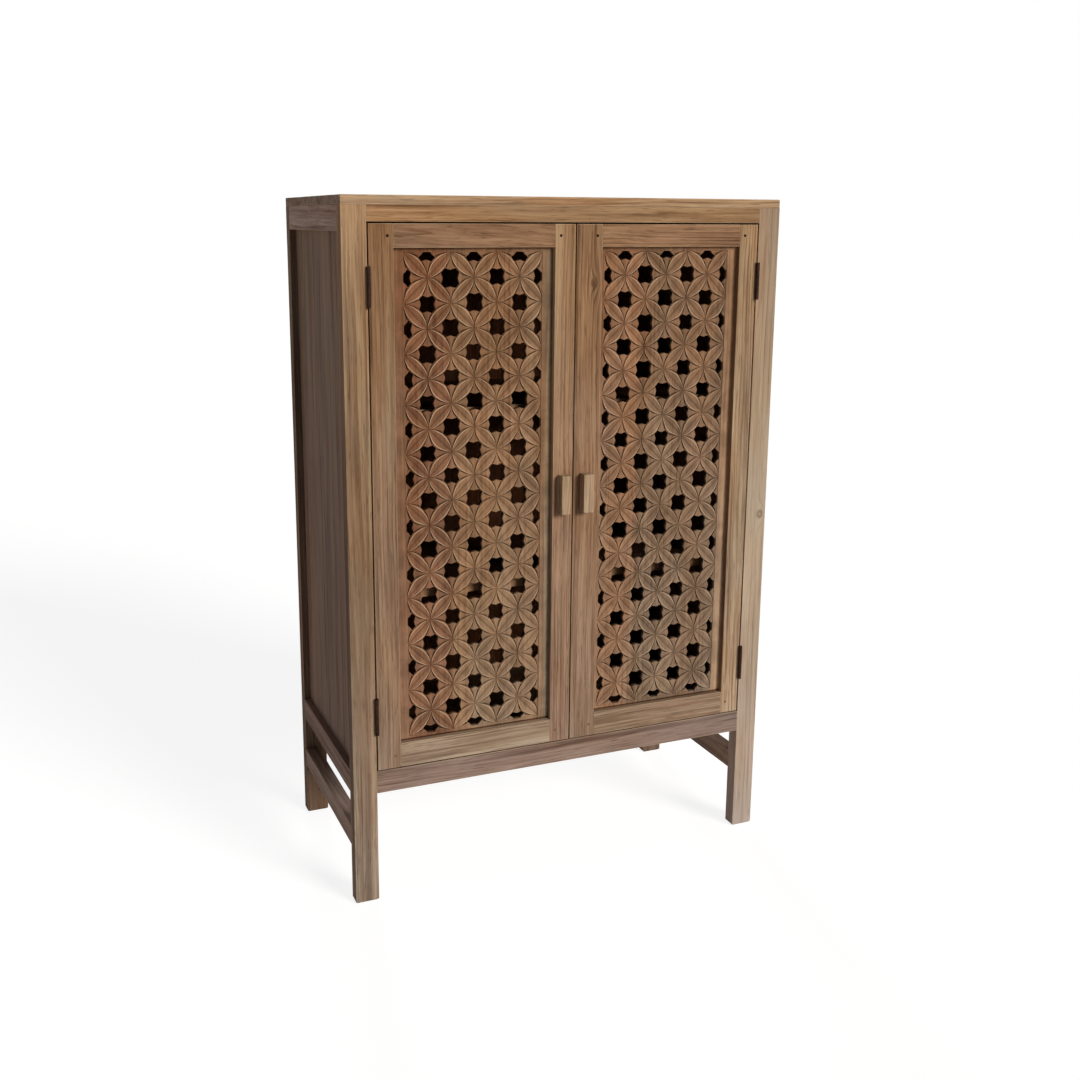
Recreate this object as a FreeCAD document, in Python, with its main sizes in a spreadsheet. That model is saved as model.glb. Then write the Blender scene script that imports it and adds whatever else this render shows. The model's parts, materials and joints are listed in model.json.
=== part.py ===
import FreeCAD, Part
import Sketcher
import os
import re

# Two-door wardrobe: a framed case on four legs, with two inset doors that hold pierced carved panels.
# Millimetres, +Z up, the doors face -Y. The origin is on the floor under the middle of the whole box.

sizes = {
    # case
    "case_width": 800,
    "case_depth": 390,
    "case_height": 1200,
    "top_thickness": 15,
    "post_width": 41,
    "post_depth": 25,
    "foot_chamfer": 3,
    # rails of the case and their tenons
    "rail_thickness": 25,
    "rail_level": 200,
    "bottom_rail_height": 40,
    "front_top_rail_height": 26,
    "side_top_rail_height": 41,
    "stretcher_level": 101,
    "stretcher_height": 35,
    "tenon_length": 15,
    "tenon_thickness": 8,
    "tenon_shoulder": 8,
    "tenon_play": 0.5,
    # panels, boards and shelves
    "panel_thickness": 8,
    "panel_recess": 12,
    "groove_depth": 6,
    "groove_play": 0.5,
    "bottom_thickness": 12,
    "shelf_thickness": 16,
    "shelf_setback": 10,
    "lower_clear_height": 290,
    "middle_clear_height": 292,
    "shelf_play": 0.5,
    "cleat_width": 15,
    "cleat_height": 20,
    # doors
    "door_thickness": 25,
    "hinge_gap": 2.6,
    "door_top_gap": 2.5,
    "door_bottom_gap": 2,
    "meeting_gap": 2.4,
    "meeting_shift": 2,
    "left_hinge_stile_width": 41,
    "left_meeting_stile_width": 37,
    "right_hinge_stile_width": 36,
    "right_meeting_stile_width": 48,
    "door_top_rail_height": 38,
    "door_bottom_rail_height": 43,
    "door_tenon_length": 22,
    "door_tenon_shoulder": 9,
    "peg_radius": 2.5,
    "peg_inset": 10,
    "peg_depth": 19,
    # carved panels
    "carving_thickness": 11,
    "carving_recess": 10.5,
    "carving_margin": 18.2,
    "tile_width": 80.7,
    "tile_height": 82,
    # handles
    "handle_width": 19,
    "handle_height": 68,
    "left_handle_setback": 18.5,
    "right_handle_setback": 21,
    "handle_projection": 19,
    "handle_fillet": 1.5,
    "handle_screw_spacing": 36,
    "handle_screw_radius": 1.9,
    "handle_screw_reach": 12,
    "handle_screw_head_radius": 3.5,
    "handle_screw_head_height": 2.2,
    # hinges
    "hinge_length": 65,
    "hinge_middle_distance": 98.5,
    "leaf_thickness": 1.1,
    "leaf_width": 19,
    "knuckle_radius": 3.25,
    "knuckle_clearance": 0.3,
    "pin_radius": 1.5,
    "pin_clearance": 0.05,
    "hinge_screw_spacing": 42,
    "hinge_screw_radius": 1.4,
    "hinge_screw_head_radius": 2.6,
    "hinge_screw_length": 14,
    "screw_clearance": 0.05,
    # catch and strike plates
    "catch_width": 60,
    "catch_height": 32,
    "catch_depth": 13,
    "catch_overlap": 13,
    "strike_width": 22,
    "strike_height": 12,
    "strike_thickness": 1,
    "strike_inset": 2,
    "strike_clearance": 0.3,
}

# corners of a pierced opening, as shares of half a tile
tab_tip_share = 0.30
corner_far_share = 0.37
corner_near_share = 0.20
# length of an opening on the carving's border, as a share of a full one
border_length_share = 0.84

# places worked out from the sizes
front = "((handle_projection - case_depth) / 2)"
back = f"({front} + case_depth)"
left = "(-case_width / 2)"
under_top = "(case_height - top_thickness)"
rail_top = "(rail_level + bottom_rail_height)"
opening_left = f"({left} + post_width)"
opening_top = f"({under_top} - front_top_rail_height)"
side_opening_top = f"({under_top} - side_top_rail_height)"
inside_front = f"({front} + post_depth)"
inside_back = f"({back} - post_depth)"
inside_depth = f"({inside_back} - {inside_front})"
panel_inner = "(panel_recess + panel_thickness)"
lower_shelf_level = f"({rail_top} + lower_clear_height)"
upper_shelf_level = f"({lower_shelf_level} + shelf_thickness + middle_clear_height)"
door_back = f"({front} + door_thickness)"
door_bottom = f"({rail_top} + door_bottom_gap)"
door_top = f"({opening_top} - door_top_gap)"
door_height = f"({door_top} - {door_bottom})"
field_bottom = f"({door_bottom} + door_bottom_rail_height)"
field_top = f"({door_top} - door_top_rail_height)"
field_height = f"({field_top} - {field_bottom})"
hinge_edge = f"({opening_left} + hinge_gap)"
axis_x = f"({opening_left} + hinge_gap / 2)"
axis_y = f"({front} - knuckle_radius - knuckle_clearance)"
panel_tongue = "(groove_depth - groove_play)"

doc = FreeCAD.newDocument("wardrobe")
sheet = doc.addObject("Spreadsheet::Sheet", "dims")
for row, (alias, value) in enumerate(sizes.items(), start=1):
    sheet.set(f"A{row}", alias)
    sheet.set(f"B{row}", str(value))
    sheet.setAlias(f"B{row}", alias)
doc.recompute()

word = re.compile(r"[a-z]+(?:_[a-z]+)*")
nodes = []


def sheet_name(found):
    name = found.group()
    return f"dims.{name}" if name in sizes else name


def expand(text):
    return word.sub(sheet_name, text)


def bind(feature, **expressions):
    for prop, text in expressions.items():
        feature.setExpression(prop, expand(text))


def place(feature, at):
    for axis, text in zip("xyz", at):
        feature.setExpression(f"Placement.Base.{axis}", expand(text))


def box(name, at, extent):
    feature = doc.addObject("Part::Box", name)
    bind(feature, Length=extent[0], Width=extent[1], Height=extent[2])
    place(feature, at)
    return feature


def rod(name, at, direction, radius, length):
    feature = doc.addObject("Part::Cylinder", name)
    bind(feature, Radius=radius, Height=length)
    feature.Placement = FreeCAD.Placement(FreeCAD.Vector(), turn_to(direction))
    place(feature, at)
    return feature


def cone(name, at, direction, radius, end_radius, length):
    feature = doc.addObject("Part::Cone", name)
    bind(feature, Radius1=radius, Radius2=end_radius, Height=length)
    feature.Placement = FreeCAD.Placement(FreeCAD.Vector(), turn_to(direction))
    place(feature, at)
    return feature


def turn_to(direction):
    return FreeCAD.Rotation(FreeCAD.Vector(0, 0, 1), FreeCAD.Vector(*direction))


def join(name, *shapes):
    feature = doc.addObject("Part::MultiFuse", name)
    feature.Shapes = list(shapes)
    return feature


def group(name, *shapes):
    feature = doc.addObject("Part::Compound", name)
    feature.Links = list(shapes)
    return feature


def cut(name, base, *tools):
    feature = doc.addObject("Part::Cut", name)
    feature.Base = base
    feature.Tool = tools[0] if len(tools) == 1 else group(name + "_tools", *tools)
    return feature


def mirror(name, source):
    feature = doc.addObject("Part::Mirroring", name)
    feature.Source = source
    feature.Normal = FreeCAD.Vector(1, 0, 0)
    return feature


def keep(label, feature):
    feature.Label = label
    nodes.append(feature)
    return feature


def keep_pair(part, feature):
    keep(f"left_{part}", feature)
    keep(f"right_{part}", mirror(f"{part}_mirrored", feature))


# a body padded from a centred rectangle on one of its own origin planes
def rectangle_body(name, plane, across, along, length):
    body = doc.addObject("PartDesign::Body", name)
    sketch = body.newObject("Sketcher::SketchObject", f"{name}_outline")
    planes = {feature.Role: feature for feature in body.Origin.OriginFeatures}
    sketch.AttachmentSupport = [(planes[plane], "")]
    sketch.MapMode = "FlatFace"
    corners = [FreeCAD.Vector(x, y, 0) for x, y in ((-1, -1), (1, -1), (1, 1), (-1, 1))]
    for index, corner in enumerate(corners):
        sketch.addGeometry(Part.LineSegment(corner, corners[(index + 1) % len(corners)]))
    for index in range(len(corners)):
        sketch.addConstraint(Sketcher.Constraint("Coincident", index, 2, (index + 1) % len(corners), 1))
    for level in (0, 2):
        sketch.addConstraint(Sketcher.Constraint("Horizontal", level))
    for upright in (1, 3):
        sketch.addConstraint(Sketcher.Constraint("Vertical", upright))
    sketch.addConstraint(Sketcher.Constraint("Symmetric", 0, 1, 1, 2, -1, 1))
    side = corners[1].x - corners[0].x
    wide = sketch.addConstraint(Sketcher.Constraint("DistanceX", 0, 1, 0, 2, side))
    tall = sketch.addConstraint(Sketcher.Constraint("DistanceY", 1, 1, 1, 2, side))
    sketch.setExpression(f"Constraints[{wide}]", expand(across))
    sketch.setExpression(f"Constraints[{tall}]", expand(along))
    pad = body.newObject("PartDesign::Pad", f"{name}_pad")
    pad.Profile = sketch
    bind(pad, Length=length)
    doc.recompute()
    return body, pad


def edge_names(shape, chosen):
    return [f"Edge{index}" for index, edge in enumerate(shape.Edges, start=1) if chosen(edge)]


# long rails between posts: a shouldered bar with a tenon at each end
def tongue_across(name, rail_front, level, height, play):
    reach = f"(tenon_length + {play})"
    at = (f"{opening_left} - {reach}",
          f"{rail_front} + (post_depth - tenon_thickness) / 2",
          f"{level} + tenon_shoulder")
    extent = (f"2 * ({reach} - {opening_left})", "tenon_thickness", f"{height} - 2 * tenon_shoulder")
    return box(name, at, extent)


def tongue_along(name, level, height, play):
    reach = f"(tenon_length + {play})"
    at = (f"{left} + (rail_thickness - tenon_thickness) / 2",
          f"{inside_front} - {reach}",
          f"{level} + tenon_shoulder")
    extent = ("tenon_thickness", f"{inside_depth} + 2 * {reach}", f"{height} - 2 * tenon_shoulder")
    return box(name, at, extent)


def rail_across(name, rail_front, level, height):
    extent = (f"-2 * {opening_left}", "post_depth", height)
    bar = box(f"{name}_bar", (opening_left, rail_front, level), extent)
    return join(f"{name}_blank", bar, tongue_across(f"{name}_tenons", rail_front, level, height, "0"))


def rail_along(name, level, height):
    bar = box(f"{name}_bar", (left, inside_front, level), ("rail_thickness", inside_depth, height))
    return join(f"{name}_blank", bar, tongue_along(f"{name}_tenons", level, height, "0"))


across_rails = {
    "front_top_rail": (front, opening_top, "front_top_rail_height"),
    "front_bottom_rail": (front, "rail_level", "bottom_rail_height"),
    "back_top_rail": (f"({back} - post_depth)", side_opening_top, "side_top_rail_height"),
    "back_bottom_rail": (f"({back} - post_depth)", "rail_level", "bottom_rail_height"),
}
along_rails = {
    "top_rail": (side_opening_top, "side_top_rail_height"),
    "bottom_rail": ("rail_level", "bottom_rail_height"),
    "stretcher": ("stretcher_level", "stretcher_height"),
}


# panels sit in grooves of the posts and rails around them
def board_height(tongue):
    return f"{side_opening_top} - {rail_top} + 2 * {tongue}"


def side_board(name, tongue):
    at = (f"{left} + panel_recess", f"{inside_front} - {tongue}", f"{rail_top} - {tongue}")
    return box(name, at, ("panel_thickness", f"{inside_depth} + 2 * {tongue}", board_height(tongue)))


def back_board(name, tongue):
    at = (f"{opening_left} - {tongue}", f"{back} - {panel_inner}", f"{rail_top} - {tongue}")
    return box(name, at, (f"2 * ({tongue} - {opening_left})", "panel_thickness", board_height(tongue)))


side_groove = side_board("side_groove", "groove_depth")
back_groove = back_board("back_groove", "groove_depth")
across_mortises = {
    name: tongue_across(f"{name}_mortises", *place_and_height, "tenon_play")
    for name, place_and_height in across_rails.items()
}
along_mortises = [
    tongue_along(f"side_{name}_mortises", *level_and_height, "tenon_play")
    for name, level_and_height in along_rails.items()
]

for name, place_and_height in across_rails.items():
    blank = rail_across(name, *place_and_height)
    keep(name, cut(f"{name}_grooved", blank, back_groove) if name.startswith("back") else blank)
for name, level_and_height in along_rails.items():
    keep_pair(name, cut(f"side_{name}_grooved", rail_along(f"side_{name}", *level_and_height), side_groove))
keep_pair("side_panel", side_board("side_panel", panel_tongue))
keep("back_panel", back_board("back_panel", panel_tongue))

# top, bottom and shelves
top_body, top_pad = rectangle_body("top", "XY_Plane", "case_width", "case_depth", "top_thickness")
place(top_body, ("0", f"({front} + {back}) / 2", under_top))
keep("top_board", top_body)

bottom_left = f"({left} + rail_thickness)"
bottom_under = f"({rail_top} - bottom_thickness)"
keep("bottom_board", box(
    "bottom",
    (bottom_left, inside_front, bottom_under),
    (f"-2 * {bottom_left}", inside_depth, "bottom_thickness"),
))
bottom_cleats = [
    box(
        f"bottom_cleat_{end}",
        (opening_left, cleat_front, f"{bottom_under} - cleat_height"),
        (f"-2 * {opening_left}", "cleat_width", "cleat_height"),
    )
    for end, cleat_front in (("front", inside_front), ("back", f"{inside_back} - cleat_width"))
]
keep("bottom_board_cleats", group("bottom_cleats", *bottom_cleats))

shelf_front = f"({door_back} + shelf_setback)"
cleat_front = f"({inside_front} + shelf_setback)"
for name, shelf_level in (("lower_shelf", lower_shelf_level), ("upper_shelf", upper_shelf_level)):
    shelf_left = f"({opening_left} + shelf_play)"
    keep(name, box(
        f"{name}_board",
        (shelf_left, shelf_front, shelf_level),
        (f"-2 * {shelf_left}", f"{back} - {panel_inner} - shelf_play - {shelf_front}", "shelf_thickness"),
    ))
    cleat = box(
        f"{name}_cleat",
        (f"{left} + {panel_inner}", cleat_front, f"{shelf_level} - cleat_height"),
        (f"post_width - {panel_inner} + cleat_width", f"{inside_back} - {cleat_front}", "cleat_height"),
    )
    keep(f"{name}_cleats", group(f"{name}_cleat_pair", cleat, mirror(f"{name}_cleat_right", cleat)))


# butt hinges, made for the left door and mirrored for the right one
def hinge_screw(name, face_x, direction, level, clearance):
    at = (face_x, f"{front} + leaf_width / 2", level)
    seat = (f"{face_x} + {direction} * leaf_thickness", at[1], level)
    head = cone(f"{name}_head", at, (direction, 0, 0), f"hinge_screw_head_radius + {clearance}",
                f"hinge_screw_radius + {clearance}", "leaf_thickness")
    shank = rod(f"{name}_shank", seat, (direction, 0, 0), f"hinge_screw_radius + {clearance}",
                f"hinge_screw_length + {clearance}")
    return join(name, head, shank)


def hinge_leaf(name, plate_x, middle, knuckles, screws):
    bottom = f"({middle} - hinge_length / 2)"
    extent = ("leaf_thickness", "leaf_width", "hinge_length")
    pieces = [box(f"{name}_plate", (plate_x, front, bottom), extent)]
    root = f"({axis_y} + (pin_radius + knuckle_radius) / 2)"
    upright = (0, 0, 1)
    for count, (start, length) in enumerate(knuckles):
        level = f"({bottom} + {start})"
        at = (axis_x, axis_y, level)
        pieces.append(rod(f"{name}_knuckle_{count}", at, upright, "knuckle_radius", length))
        pieces.append(box(f"{name}_root_{count}", (plate_x, root, level),
                          ("leaf_thickness", f"{front} - {root}", length)))
    at = (axis_x, axis_y, bottom)
    bore = rod(f"{name}_bore", at, upright, "pin_radius + pin_clearance", "hinge_length")
    return cut(f"{name}_leaf", join(f"{name}_blank", *pieces), bore, *screws)


third = "(hinge_length / 3)"
frame_knuckles = [("0", third), (f"2 * {third}", third)]
door_knuckles = [(f"{third} + knuckle_clearance", f"{third} - 2 * knuckle_clearance")]
frame_face = f"({opening_left} + leaf_thickness)"
door_face = f"({hinge_edge} - leaf_thickness)"
hinge_middles = {
    "upper": f"({door_top} - hinge_middle_distance)",
    "lower": f"({door_bottom} + hinge_middle_distance)",
}
frame_screws = []
door_screws = []
frame_pilots = []
door_pilots = []
for which, middle in hinge_middles.items():
    levels = [f"({middle} + {sign} * hinge_screw_spacing / 2)" for sign in (-1, 1)]
    frame_holes = []
    door_holes = []
    for index, level in enumerate(levels):
        name = f"{which}_screw_{index}"
        frame_screws.append(hinge_screw(f"{name}_frame", frame_face, -1, level, "0"))
        door_screws.append(hinge_screw(f"{name}_door", door_face, 1, level, "0"))
        frame_holes.append(hinge_screw(f"{name}_frame_hole", frame_face, -1, level, "screw_clearance"))
        door_holes.append(hinge_screw(f"{name}_door_hole", door_face, 1, level, "screw_clearance"))
    keep_pair(f"{which}_hinge_frame_leaf",
              hinge_leaf(f"{which}_frame", opening_left, middle, frame_knuckles, frame_holes))
    keep_pair(f"{which}_hinge_door_leaf",
              hinge_leaf(f"{which}_door", door_face, middle, door_knuckles, door_holes))
    keep_pair(f"{which}_hinge_pin",
              rod(f"{which}_pin", (axis_x, axis_y, f"{middle} - hinge_length / 2"), (0, 0, 1),
                  "pin_radius", "hinge_length"))
    frame_pilots += frame_holes
    door_pilots += door_holes
frame_screw_group = group("frame_screws", *frame_screws)
keep("frame_hinge_screws", group("frame_screw_pairs", frame_screw_group,
                                 mirror("frame_screws_right", frame_screw_group)))
keep_pair("door_hinge_screws", group("door_screws", *door_screws))


# posts: legs and corners in one, with mortises, panel grooves and the pilot holes of the hinges
def post(end, post_front, tools):
    body, pad = rectangle_body(f"{end}_post", "XY_Plane", "post_width", "post_depth", under_top)
    chamfer = body.newObject("PartDesign::Chamfer", f"{end}_foot_chamfer")
    foot = pad.Shape.BoundBox.ZMin
    chamfer.Base = (pad, edge_names(pad.Shape, lambda edge: edge.BoundBox.ZMax - foot < edge.Length / 2))
    bind(chamfer, Size="foot_chamfer")
    body.Tip = chamfer
    place(body, (f"{left} + post_width / 2", f"{post_front} + post_depth / 2", "0"))
    return cut(f"{end}_post_mortised", body, *tools)


front_tools = [across_mortises["front_top_rail"], across_mortises["front_bottom_rail"]]
back_tools = [across_mortises["back_top_rail"], across_mortises["back_bottom_rail"], back_groove]
side_tools = [*along_mortises, side_groove]
for end, post_front, tools in (
    ("front", front, [*front_tools, *side_tools, *frame_pilots]),
    ("back", f"({back} - post_depth)", [*back_tools, *side_tools]),
):
    corner = post(end, post_front, tools)
    keep(f"{end}_left_post", corner)
    keep(f"{end}_right_post", mirror(f"{end}_post_mirrored", corner))


# the twelve corners of one pierced opening, round its centre
def opening_ring(centre, half_width, half_height):
    quarter = [
        (tab_tip_share, 0),
        (corner_far_share, corner_near_share),
        (corner_near_share, corner_far_share),
    ]
    ring = []
    for turn in range(4):
        ring += quarter
        quarter = [(-y, x) for x, y in quarter]
    return [(centre[0] + x * half_width, centre[1] + y * half_height) for x, y in ring]


def flat_wire(points):
    corners = [FreeCAD.Vector(x, 0, z) for x, z in points]
    return Part.makePolygon([*corners, corners[0]])


# carved panel: tiles of four petals, pierced at the middle of every tile edge and cut off at the border
def carved_panel(name, inner_left, field_width):
    feature = doc.addObject("Part::Feature", name)
    lengths = {
        "FieldWidth": field_width,
        "FieldHeight": field_height,
        "Tongue": panel_tongue,
        "Margin": "carving_margin",
        "TileWidth": "tile_width",
        "TileHeight": "tile_height",
        "Thickness": "carving_thickness",
    }
    for prop, text in lengths.items():
        feature.addProperty("App::PropertyLength", prop, "Carving")
        feature.setExpression(prop, expand(text))
    doc.recompute()
    width, height, tongue, margin, tile_width, tile_height, thickness = (
        getattr(feature, prop).Value for prop in lengths
    )
    columns = int((width - margin) // tile_width)
    rows = int(height // tile_height)
    half_width = tile_width / 2
    half_height = tile_height / 2
    start = (margin, height / 2 - rows * half_height)
    limit = (start[0] + 2 * columns * half_width, start[1] + 2 * rows * half_height)
    outline = [(-tongue, -tongue), (width + tongue, -tongue), (width + tongue, height + tongue),
               (-tongue, height + tongue)]
    wires = [flat_wire(outline)]
    near = half_width * corner_near_share / 2
    for column in range(2 * columns + 1):
        for row in range(2 * rows + 1):
            if (column + row) % 2 == 0:
                continue
            centre = (start[0] + column * half_width, start[1] + row * half_height)
            across = half_width * (border_length_share if row in (0, 2 * rows) else 1)
            along = half_height * (border_length_share if column in (0, 2 * columns) else 1)
            ring = [
                (x, z) for x, z in opening_ring(centre, across, along)
                if start[0] - near < x < limit[0] + near and start[1] - near < z < limit[1] + near
            ]
            wires.append(flat_wire(ring))
    feature.Shape = Part.Face(wires, "Part::FaceMakerBullseye").extrude(FreeCAD.Vector(0, thickness, 0))
    place(feature, (inner_left, f"{front} + carving_recess", field_bottom))
    return feature


# doors, drawn as left doors and mirrored for the right side
def door(side, meeting_edge):
    inner_left = f"({hinge_edge} + {side}_hinge_stile_width)"
    inner_right = f"({meeting_edge} - {side}_meeting_stile_width)"
    field_width = f"({inner_right} - {inner_left})"
    stile_middle = f"({meeting_edge} - {side}_meeting_stile_width / 2)"
    handle_middle = f"({meeting_edge} - {side}_handle_setback)"
    handle_level = f"(({door_bottom} + {door_top}) / 2)"

    def finish(part, feature):
        if side == "right":
            feature = mirror(f"{part}_right", feature)
        keep(f"{side}_{part}", feature)

    def tongue(name, level, height, play):
        reach = f"(door_tenon_length + {play})"
        at = (f"{inner_left} - {reach}", f"{front} + (door_thickness - tenon_thickness) / 2",
              f"{level} + door_tenon_shoulder")
        extent = (f"{field_width} + 2 * {reach}", "tenon_thickness", f"{height} - 2 * door_tenon_shoulder")
        return box(name, at, extent)

    groove = box(
        f"{side}_door_groove",
        (f"{inner_left} - groove_depth", f"{front} + carving_recess", f"{field_bottom} - groove_depth"),
        (f"{field_width} + 2 * groove_depth", "carving_thickness", f"{field_height} + 2 * groove_depth"),
    )
    rails = {
        "door_top_rail": (field_top, "door_top_rail_height"),
        "door_bottom_rail": (door_bottom, "door_bottom_rail_height"),
    }
    pegs = []
    mortises = []
    for part, (level, height) in rails.items():
        mortises.append(tongue(f"{side}_{part}_mortises", level, height, "tenon_play"))
        for peg_x in (f"{inner_left} - peg_inset", f"{inner_right} + peg_inset"):
            at = (peg_x, front, f"{level} + {height} / 2")
            pegs.append(rod(f"{side}_{part}_peg", at, (0, 1, 0), "peg_radius", "peg_depth"))
    finish("door_pegs", group(f"{side}_pegs", *pegs))
    for part, (level, height) in rails.items():
        bar = box(f"{side}_{part}_bar", (inner_left, front, level), (field_width, "door_thickness", height))
        blank = join(f"{side}_{part}_blank", bar, tongue(f"{side}_{part}_tenons", level, height, "0"))
        finish(part, cut(f"{side}_{part}_grooved", blank, groove, *pegs))

    handle_holes = []
    handle_screws = []
    for index, sign in enumerate((-1, 1)):
        at = (handle_middle, door_back, f"{handle_level} + {sign} * handle_screw_spacing / 2")
        reach = "door_thickness + handle_screw_reach"
        shank = rod(f"{side}_handle_shank_{index}", at, (0, -1, 0), "handle_screw_radius", reach)
        head = rod(f"{side}_handle_head_{index}", at, (0, 1, 0), "handle_screw_head_radius",
                   "handle_screw_head_height")
        handle_screws.append(join(f"{side}_handle_screw_{index}", shank, head))
        handle_holes.append(rod(f"{side}_handle_hole_{index}", at, (0, -1, 0),
                                "handle_screw_radius + screw_clearance", f"{reach} + screw_clearance"))
    finish("handle_screws", group(f"{side}_handle_screw_pair", *handle_screws))

    hinge_stile = box(f"{side}_hinge_stile_bar", (hinge_edge, front, door_bottom),
                      (f"{side}_hinge_stile_width", "door_thickness", door_height))
    finish("hinge_stile", cut(f"{side}_hinge_stile_cut", hinge_stile, groove, *mortises, *pegs, *door_pilots))
    meeting_stile = box(f"{side}_meeting_stile_bar", (inner_right, front, door_bottom),
                        (f"{side}_meeting_stile_width", "door_thickness", door_height))
    finish("meeting_stile", cut(f"{side}_meeting_stile_cut", meeting_stile, groove, *mortises, *pegs,
                                *handle_holes))
    finish("carved_panel", carved_panel(f"{side}_carving", inner_left, field_width))

    handle, pad = rectangle_body(f"{side}_pull", "XZ_Plane", "handle_width", "handle_height",
                                 "handle_projection")
    fillet = handle.newObject("PartDesign::Fillet", f"{side}_pull_fillet")
    seat = pad.Shape.BoundBox.YMax
    fillet.Base = (pad, edge_names(pad.Shape, lambda edge: seat - edge.BoundBox.YMin > edge.Length / 2
                                   or seat - edge.BoundBox.YMax > 0))
    bind(fillet, Radius="handle_fillet")
    handle.Tip = fillet
    place(handle, (handle_middle, front, handle_level))
    finish("handle", cut(f"{side}_pull_bored", handle, *handle_holes))
    finish("strike_plate", box(
        f"{side}_strike",
        (f"{stile_middle} - strike_width / 2", door_back, f"{door_top} - strike_inset - strike_height"),
        ("strike_width", "strike_thickness", "strike_height"),
    ))


door("left", "(meeting_shift - meeting_gap / 2)")
door("right", "(-meeting_shift - meeting_gap / 2)")

# catch: screwed to the back of the front top rail, its lower half set back behind the strike plates
catch_left = "(meeting_shift - catch_width / 2)"
catch_bottom = f"({opening_top} + catch_overlap - catch_height)"
catch_block = box("catch_block", (catch_left, inside_front, catch_bottom),
                  ("catch_width", "catch_depth", "catch_height"))
catch_relief = box(
    "catch_relief",
    (catch_left, inside_front, catch_bottom),
    ("catch_width", f"{door_back} + strike_thickness + strike_clearance - {inside_front}",
     f"{opening_top} - {catch_bottom}"),
)
keep("door_catch", cut("catch_relieved", catch_block, catch_relief))

doc.recompute()
for feature in doc.Objects:
    if "Invalid" in feature.State or "Error" in feature.State:
        raise RuntimeError(f"{feature.Label} did not build: {feature.State}")
for feature in nodes:
    if feature.Shape.isNull() or not feature.Shape.isValid() or not feature.Shape.Solids:
        raise RuntimeError(f"{feature.Label} has no sound solid")

os.makedirs("parts", exist_ok=True)
for feature in nodes:
    feature.Shape.exportStep(f"parts/{feature.Label}.step")
print(f"{len(nodes)} nodes written")
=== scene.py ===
import json
import math
import random

import bmesh
import bpy
import numpy as np
from mathutils import Matrix, Vector, noise

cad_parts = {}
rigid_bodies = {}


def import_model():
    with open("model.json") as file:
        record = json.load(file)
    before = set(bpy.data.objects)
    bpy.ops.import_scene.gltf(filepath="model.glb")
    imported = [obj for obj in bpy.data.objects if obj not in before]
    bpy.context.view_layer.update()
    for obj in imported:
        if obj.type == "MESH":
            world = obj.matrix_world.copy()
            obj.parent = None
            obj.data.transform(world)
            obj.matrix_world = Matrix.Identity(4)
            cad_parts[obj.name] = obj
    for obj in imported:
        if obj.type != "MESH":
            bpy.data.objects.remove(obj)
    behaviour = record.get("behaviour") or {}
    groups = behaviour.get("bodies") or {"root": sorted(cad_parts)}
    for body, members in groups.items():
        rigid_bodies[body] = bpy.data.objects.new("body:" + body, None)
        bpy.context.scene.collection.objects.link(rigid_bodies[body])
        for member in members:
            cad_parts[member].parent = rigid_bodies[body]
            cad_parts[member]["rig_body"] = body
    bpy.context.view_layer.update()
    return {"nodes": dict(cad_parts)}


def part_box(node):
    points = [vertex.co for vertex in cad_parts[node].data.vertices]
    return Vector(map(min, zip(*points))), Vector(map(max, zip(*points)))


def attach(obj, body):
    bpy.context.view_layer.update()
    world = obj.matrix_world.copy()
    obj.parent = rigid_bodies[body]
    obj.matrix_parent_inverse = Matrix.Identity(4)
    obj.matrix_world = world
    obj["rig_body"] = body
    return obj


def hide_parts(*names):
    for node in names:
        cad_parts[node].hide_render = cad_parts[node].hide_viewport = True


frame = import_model()
mm = 0.001
print("frame loaded:", len(frame["nodes"]), "pieces")

srgb = {"steps": 255, "knee": 0.04045, "slope": 12.92, "offset": 0.055, "power": 2.4}


def linear(red, green, blue):
    channels = []
    for value in (red, green, blue):
        share = value / srgb["steps"]
        if share <= srgb["knee"]:
            channels.append(share / srgb["slope"])
        else:
            channels.append(((share + srgb["offset"]) / (1 + srgb["offset"])) ** srgb["power"])
    return (*channels, 1.0)


# shorthands for node trees: a value is either a socket to link or a plain number
mixSockets = {"factor": 0, "first": 6, "second": 7, "result": 2}  # the Mix node's places for colours
noiseRoughness = 0.55
noiseMiddle = (0.5, 0.5, 0.5)


def addNode(tree, kind, **settings):
    node = tree.nodes.new(kind)
    for key, value in settings.items():
        setattr(node, key, value)
    return node


def feed(tree, socket, value):
    if isinstance(value, bpy.types.NodeSocket):
        tree.links.new(value, socket)
    else:
        socket.default_value = value


def calc(tree, operation, first, second=0.0):
    node = addNode(tree, "ShaderNodeMath", operation=operation)
    feed(tree, node.inputs[0], first)
    feed(tree, node.inputs[1], second)
    return node.outputs[0]


def calcVector(tree, operation, first, second=(0.0, 0.0, 0.0), result="Vector"):
    node = addNode(tree, "ShaderNodeVectorMath", operation=operation)
    feed(tree, node.inputs[0], first)
    feed(tree, node.inputs[1], second)
    return node.outputs[result]


def split(tree, vector):
    node = addNode(tree, "ShaderNodeSeparateXYZ")
    tree.links.new(vector, node.inputs["Vector"])
    return node.outputs


def spread(tree, value, low, high, toLow=0.0, toHigh=1.0):
    node = addNode(tree, "ShaderNodeMapRange", interpolation_type="SMOOTHSTEP")
    feed(tree, node.inputs["Value"], value)
    node.inputs["From Min"].default_value = low
    node.inputs["From Max"].default_value = high
    node.inputs["To Min"].default_value = toLow
    node.inputs["To Max"].default_value = toHigh
    return node.outputs["Result"]


def mixColour(tree, factor, first, second, blend="MIX"):
    node = addNode(tree, "ShaderNodeMix", data_type="RGBA", blend_type=blend)
    for label, value in (("factor", factor), ("first", first), ("second", second)):
        feed(tree, node.inputs[mixSockets[label]], value)
    return node.outputs[mixSockets["result"]]


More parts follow.
